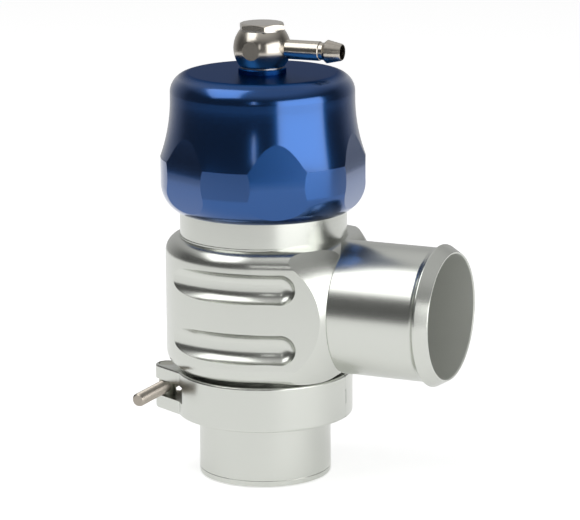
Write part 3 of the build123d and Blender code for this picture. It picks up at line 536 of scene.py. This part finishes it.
collarShape = {"low": 17.8, "top": 30.8, "outer": 25.4, "edge": 0.7, "lip": 19.4, "groove": 21.65, "rim": 1.85,
               "taper": 20.0, "trunnion": (-27.3, 8.2), "hole": 2.55, "ear": 3.4, "earTurn": 62.8,
               "earFillet": 3.0, "earOverlap": 7, "collarOverlap": 3, "slotFloor": 23.6, "slotEnd": -17.7,
               "gap": 1.5, "hinge": 23.6, "hingeGap": 0.2, "knuckle": 1.8, "knuckleRoom": 0.06, "knuckleSeam": 0.04,
               "pinHole": 1.05, "cutReach": 40, "sharpFrom": 22}
collarHalves = {
    "collarFront": {"side": -1, "slotHalf": 2.4, "knuckles": (1,), "body": "clamped_inlet", "node": "clamp_half_front"},
    "collarRear": {"side": 1, "slotHalf": 3.9, "knuckles": (0, 2), "body": "rear_clamp", "node": "clamp_half_rear"},
}


def makeEar(shape, side):  # round end, straight flank and a fillet into the collar, as one extruded plan
    x, y = shape["trunnion"]
    low, top, ear, fillet = shape["low"], shape["top"], shape["ear"], shape["earFillet"]
    turn = math.radians(shape["earTurn"])
    along = Vector((math.sin(turn), math.cos(turn)))
    outward = Vector((-math.cos(turn), math.sin(turn)))
    flank = Vector((x, y)) + outward * ear
    offset = flank + outward * fillet
    reach = shape["outer"] + fillet
    step = -offset.dot(along) - math.sqrt(offset.dot(along) ** 2 - offset.length_squared + reach ** 2)
    centre = offset + along * step
    plan = [(x + shape["earOverlap"], y - ear)]
    plan += arc((x, y), ear, 270, 180 - shape["earTurn"], 32)
    start = math.degrees(math.atan2(-outward.y, -outward.x))
    end = math.degrees(math.atan2(-centre.y, -centre.x))
    plan += arc(centre, fillet, start, end, 12)
    plan += [tuple(centre.normalized() * (shape["outer"] - shape["collarOverlap"])), plan[0]]
    piece = extrudeOutline("ear", [(a, side * b, low) for a, b in plan], (0, 0, top - low))
    for level in (low, top):
        roundEdges(piece, lambda a, b: abs(a.z - level) + abs(b.z - level) < 0.01, shape["edge"], 6)
    bpy.ops.object.mode_set(mode="OBJECT")
    return piece


def makeCollarHalf(name, shape, half):
    low, top, outer, edge = shape["low"], shape["top"], shape["outer"], shape["edge"]
    lip, groove, rim, reach = shape["lip"], shape["groove"], shape["rim"], shape["cutReach"]
    middle, side, under, over = (low + top) / 2, half["side"], low - 1, top + 1
    disc = [(0, low), *arc((outer - edge, low + edge), edge, -90, 0, 6),
            *arc((outer - edge, top - edge), edge, 0, 90, 6), (0, top)]
    piece = turnOnLathe(name, disc)
    carve(piece, makeEar(shape, side), "UNION")
    deep = rim + (groove - lip) * math.tan(math.radians(shape["taper"]))
    bore = toAxis(((lip, under), (lip, middle - deep), (groove, middle - rim), (groove, middle + rim),
                   (lip, middle + deep), (lip, over)))
    carve(piece, turnOnLathe("collarBore", bore))
    slotLow, slotTop = middle - half["slotHalf"], middle + half["slotHalf"]
    slot = box("slotTool", (-reach, -reach, slotLow), (shape["slotEnd"], reach, slotTop))
    carve(slot, post("slotFloor", 0, 0, shape["slotFloor"], low, top, 240))
    carve(piece, slot)
    x, y = shape["trunnion"]
    carve(piece, post("trunnionHole", x, side * y, shape["hole"], under, over))
    for near, far, gap in ((-reach, 0, shape["gap"]), (0, reach, shape["hingeGap"])):
        ends = sorted((side * gap, -side * reach))
        carve(piece, box("splitTool", (near, ends[0], under), (far, ends[1], over)))
    height = (top - low - 2 * edge) / 3
    hinge, knuckle, seam, room = shape["hinge"], shape["knuckle"], shape["knuckleSeam"], shape["knuckleRoom"]
    for index in range(3):
        foot = low + edge + height * index
        if index not in half["knuckles"]:
            carve(piece, post("knuckleRelief", hinge, 0, knuckle + room, foot - seam, foot + height + seam))
    for index in half["knuckles"]:
        foot = low + edge + height * index
        carve(piece, post("knuckle", hinge, 0, knuckle, foot + seam, foot + height - seam), "UNION")
    carve(piece, post("pinHole", hinge, 0, shape["pinHole"], under, over))
    smoothUp(piece, shape["sharpFrom"])
    return piece


screwShape = {"axis": (-27.3, 24.3), "crest": 1.95, "root": 1.62, "pitch": 0.7, "toothEnds": (0.4, 0.52, 0.92),
              "turns": 50, "threadFrom": -28.1, "blank": ((1.45, -27.1), (2.25, -26.3), (2.25, 6.2)),
              "head": ((1.95, 5.7), (1.95, 10.2), (3.4, 10.2), (3.5, 10.3), (3.5, 13.85), (3.4, 14.1), (3.15, 14.2)),
              "socket": 3.0, "socketDepth": 2.2, "sharpFrom": 25}


def makeScrew(shape):
    crest, root, pitch = shape["crest"], shape["root"], shape["pitch"]
    up, over, down = [pitch * part for part in shape["toothEnds"]]
    tooth = [(root, 0, 0), (crest, up, 0), (crest, over, 0), (root, down, 0), (root, pitch, 0)]
    piece = drawOutline("clampScrew", tooth)
    bpy.ops.object.mode_set(mode="OBJECT")
    wind = piece.modifiers.new("wind", "SCREW")
    wind.axis = "Y"
    wind.screw_offset = pitch * mm
    wind.iterations = shape["turns"]
    wind.steps = wind.render_steps = 24
    wind.use_merge_vertices = True
    bpy.ops.object.modifier_apply(modifier=wind.name)
    bpy.ops.object.mode_set(mode="EDIT")
    bpy.ops.mesh.select_all(action="SELECT")
    bpy.ops.transform.translate(value=(0, shape["threadFrom"] * mm, 0))
    closeMesh()
    for name, corners, operation in (("screwBlank", shape["blank"], "INTERSECT"), ("screwHead", shape["head"], "UNION")):
        outline = [(radius, y, 0) for radius, y in toAxis(corners)]
        carve(piece, turnOnLathe(name, outline, axis=(0, 1, 0), steps=64), operation)
    headTop = shape["head"][-1][1]
    carve(piece, hexBar("socketTool", shape["socket"], 2 * shape["socketDepth"], (0, headTop, 0), (math.pi / 2, 0, 0)))
    pickOnly(piece)
    piece.location = (shape["axis"][0] * mm, 0, shape["axis"][1] * mm)
    applyPlace()
    smoothUp(piece, shape["sharpFrom"])
    return piece


dress(makeAdaptor(adaptorShape), satinAluminium, "machined_adaptor", "clamped_inlet", "inlet_adaptor")
for halfName, half in collarHalves.items():
    collar = makeCollarHalf(halfName, collarShape, half)
    dress(collar, satinAluminium, "machined_collar", half["body"], half["node"])
dress(makeScrew(screwShape), screwSteel, "screw_steel", "screw", "clamp_screw")

floorLook = {"size": 6.0, "level": -0.0005, "colour": "#F4F4F4", "tableReach": 0.52, "fade": 0.02,
             "glow": 0.42, "cameraGlow": 0.52}


def makeFloor(look):  # a white table. Shiny surfaces see it only as far as its edge, and past that the darker room
    bpy.ops.object.select_all(action="DESELECT")
    bpy.ops.mesh.primitive_plane_add(size=look["size"], location=(0, 0, look["level"]))
    floor = bpy.context.object
    floor.name = "studioFloor"
    white = blankMaterial("White paper floor")
    rays = addNode(white, "ShaderNodeLightPath").outputs
    place = addNode(white, "ShaderNodeTexCoord").outputs["Object"]
    away = addNode(white, "ShaderNodeVectorMath", {"operation": "LENGTH"}, _0=place)
    past = addNode(white, "ShaderNodeMapRange", Value=away.outputs["Value"],
                   From_Min=look["tableReach"] - look["fade"], From_Max=look["tableReach"] + look["fade"])
    seenPast = addNode(white, "ShaderNodeMath", {"operation": "MULTIPLY"},
                       _0=past.outputs[0], _1=rays["Is Glossy Ray"])
    paper = addNode(white, "ShaderNodeBsdfDiffuse", Color=toLinear(look["colour"]))
    strength = addNode(white, "ShaderNodeMapRange", Value=rays["Is Camera Ray"],
                       To_Min=look["glow"], To_Max=look["cameraGlow"])
    glow = addNode(white, "ShaderNodeEmission", Color=(1, 1, 1, 1), Strength=strength.outputs[0])
    both = addNode(white, "ShaderNodeAddShader", _0=paper.outputs[0], _1=glow.outputs[0])
    shown = addNode(white, "ShaderNodeMath", {"operation": "ADD", "use_clamp": True},
                    _0=rays["Is Camera Ray"], _1=rays["Is Glossy Ray"])
    shown = addNode(white, "ShaderNodeMath", {"operation": "ADD", "use_clamp": True},
                    _0=shown.outputs[0], _1=rays["Is Transmission Ray"])
    lit = addNode(white, "ShaderNodeMixShader", _0=shown.outputs[0], _1=paper.outputs[0], _2=both.outputs[0])
    clear = addNode(white, "ShaderNodeBsdfTransparent")
    edged = addNode(white, "ShaderNodeMixShader", _0=seenPast.outputs[0], _1=lit.outputs[0], _2=clear.outputs[0])
    floor.data.materials.append(finishMaterial(white, edged))


roomLook = {"sweepWay": (-0.415, 0.910, 0.0), "sweepFrom": (0.3, 0.9), "sweepGlow": 0.42,
            "ceilingFrom": (0.45, 0.85), "ceilingGlow": (0.1, 0.62), "room": 0.42, "background": 1.0}


def makeRoom(look):  # white for the camera. Shiny surfaces see a dim room, a paler ceiling and a pale sweep behind
    world = bpy.data.worlds.new("studioWorld")
    bpy.context.scene.world = world
    world.use_nodes = True
    world.node_tree.nodes.clear()
    rays = addNode(world, "ShaderNodeLightPath").outputs
    way = addNode(world, "ShaderNodeTexCoord").outputs["Generated"]
    facing = addNode(world, "ShaderNodeVectorMath", {"operation": "DOT_PRODUCT"}, _0=way, _1=look["sweepWay"])
    rise = addNode(world, "ShaderNodeSeparateXYZ", Vector=way)
    sweep = addNode(world, "ShaderNodeMapRange", Value=facing.outputs["Value"], From_Min=look["sweepFrom"][0],
                    From_Max=look["sweepFrom"][1], To_Min=0.0, To_Max=look["sweepGlow"])
    ceiling = addNode(world, "ShaderNodeMapRange", Value=rise.outputs["Z"], From_Min=look["ceilingFrom"][0],
                      From_Max=look["ceilingFrom"][1], To_Min=look["ceilingGlow"][0], To_Max=look["ceilingGlow"][1])
    level = addNode(world, "ShaderNodeMath", {"operation": "ADD"}, _0=sweep.outputs[0], _1=ceiling.outputs[0])
    studio = addNode(world, "ShaderNodeBackground", Color=(1, 1, 1, 1), Strength=level.outputs[0])
    room = addNode(world, "ShaderNodeBackground", Color=(1, 1, 1, 1), Strength=look["room"])
    white = addNode(world, "ShaderNodeBackground", Color=(1, 1, 1, 1), Strength=look["background"])
    shown = addNode(world, "ShaderNodeMath", {"operation": "ADD", "use_clamp": True},
                    _0=rays["Is Camera Ray"], _1=rays["Is Transmission Ray"])
    inner = addNode(world, "ShaderNodeMixShader", _0=rays["Is Glossy Ray"], _1=room.outputs[0], _2=studio.outputs[0])
    seen = addNode(world, "ShaderNodeMixShader", _0=shown.outputs[0], _1=inner.outputs[0], _2=white.outputs[0])
    addNode(world, "ShaderNodeOutputWorld", Surface=seen.outputs[0])


lampAim = Vector((0, 0, 0.07))  # the middle of the valve
lampPlan = {
    "sideBox": {"at": (0.863, -0.256, 0.05), "along": (0.284, 0.959, 0.0), "size": (1.06, 0.9), "power": 9.0},
    "highBox": {"at": (-0.379, -0.39, 0.836), "along": (0.0, 0.913, 0.409), "size": (0.84, 0.58), "power": 3.4},
    "slimBox": {"at": (0.25, -0.97, 0.33), "along": (0.968, 0.25, 0.0), "size": (0.07, 0.3), "power": 0.2},
}


def makeLamp(name, plan):  # a soft box that faces the valve, its first side turned as near "along" as it goes
    lampData = bpy.data.lights.new(name, "AREA")
    lampData.shape = "RECTANGLE"
    lampData.size, lampData.size_y = plan["size"]
    lampData.energy = plan["power"]
    lamp = bpy.data.objects.new(name, lampData)
    bpy.context.scene.collection.objects.link(lamp)
    lamp.location = plan["at"]
    back = (lamp.location - lampAim).normalized()
    along = Vector(plan["along"])
    side = (along - back * back.dot(along)).normalized()
    lamp.rotation_euler = Matrix((side, back.cross(side), back)).transposed().to_euler()


photoLens = {"place": (0.36768, -0.78703, 0.26144), "right": (0.91017, 0.41420, -0.00592),
             "up": (-0.08743, 0.20606, 0.97462), "forward": (-0.404895, 0.886563, -0.223753),
             "length": 193.13, "sensor": 36.0}


def makeCamera(lens):
    cameraData = bpy.data.cameras.new("photoCamera")
    cameraData.sensor_width = lens["sensor"]
    cameraData.lens = lens["length"]
    camera = bpy.data.objects.new("photoCamera", cameraData)
    bpy.context.scene.collection.objects.link(camera)
    turn = Matrix((lens["right"], lens["up"], [-v for v in lens["forward"]])).transposed().to_4x4()
    camera.matrix_world = Matrix.Translation(lens["place"]) @ turn
    return camera


makeFloor(floorLook)
makeRoom(roomLook)
for lampName, plan in lampPlan.items():
    makeLamp(lampName, plan)
bpy.context.scene.camera = makeCamera(photoLens)
bpy.context.scene.view_settings.view_transform = "Standard"
print("floor, light and camera set")
